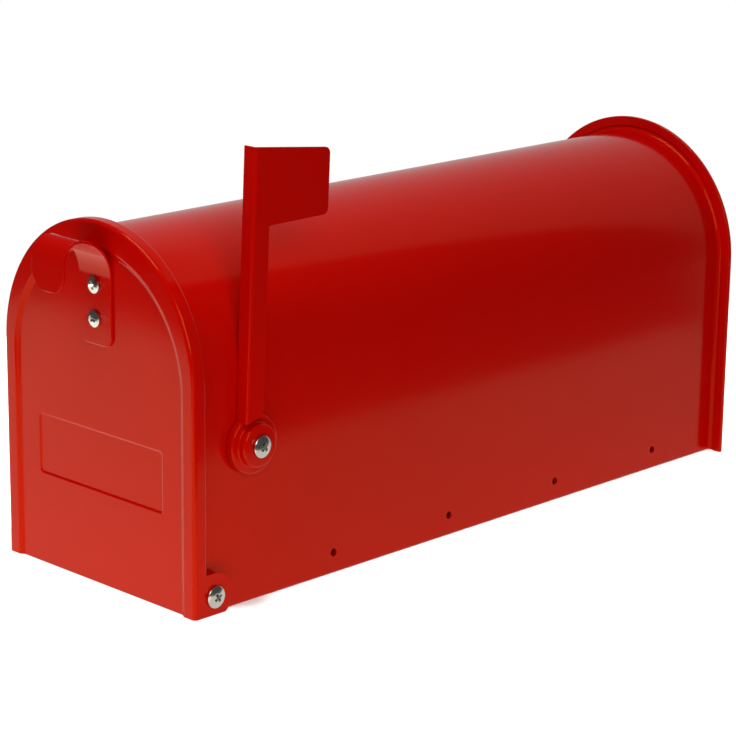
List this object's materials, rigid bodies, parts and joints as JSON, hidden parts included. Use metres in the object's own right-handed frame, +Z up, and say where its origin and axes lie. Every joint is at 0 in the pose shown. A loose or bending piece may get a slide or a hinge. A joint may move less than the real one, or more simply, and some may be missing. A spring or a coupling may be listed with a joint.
{
  "type": "rural mailbox",
  "caption": "Loaf-shaped sheet-steel mailbox with a drop-down door on hinge screws, a bent door pull, a folded rear rim, a raised floor for a mounting board and a turning signal flag.",
  "frame": {"origin": "middle of the floor's underside, where the mounting board seats between the skirts", "axes": "+Z up; the door faces -Y; the flag is on the +X side, the right as one faces the door"},
  "size_m": [0.18, 0.5238, 0.2692],
  "materials": {
    "red_enamel": "glossy baked enamel on steel sheet",
    "zinc_plated_steel": "bright zinc plating",
    "turned_brass": "turned",
    "ferrite": "sintered, matt"
  },
  "bodies": {
    "box": {"body_shell": "red_enamel", "floor_pan": "red_enamel", "rear_panel": "red_enamel", "hinge_screw_left": "zinc_plated_steel", "hinge_screw_right": "zinc_plated_steel", "hinge_spacer_left": "turned_brass", "hinge_spacer_right": "turned_brass", "hinge_nut_left": "zinc_plated_steel", "hinge_nut_right": "zinc_plated_steel", "flag_screw": "zinc_plated_steel", "flag_bush": "turned_brass", "flag_washer": "zinc_plated_steel", "flag_nut": "zinc_plated_steel", "catch_bracket": "red_enamel", "catch_magnet": "ferrite"},
    "door": {"door_panel": "red_enamel", "door_pull": "red_enamel", "pull_screw_upper": "zinc_plated_steel", "pull_screw_lower": "zinc_plated_steel", "pull_nut_upper": "zinc_plated_steel", "pull_nut_lower": "zinc_plated_steel"},
    "flag": {"flag": "red_enamel"}
  },
  "joints": [
    {"name": "door_hinge", "type": "hinge", "parent": "box", "child": "door", "pos_m": [0, -0.2309, -0.0098], "axis": [1, 0, 0], "range_deg": [0, 90]},
    {"name": "flag_pivot", "type": "hinge", "parent": "box", "child": "flag", "pos_m": [0.078, -0.1986, 0.0738], "axis": [-1, 0, 0], "range_deg": [0, 87.7]}
  ]
}
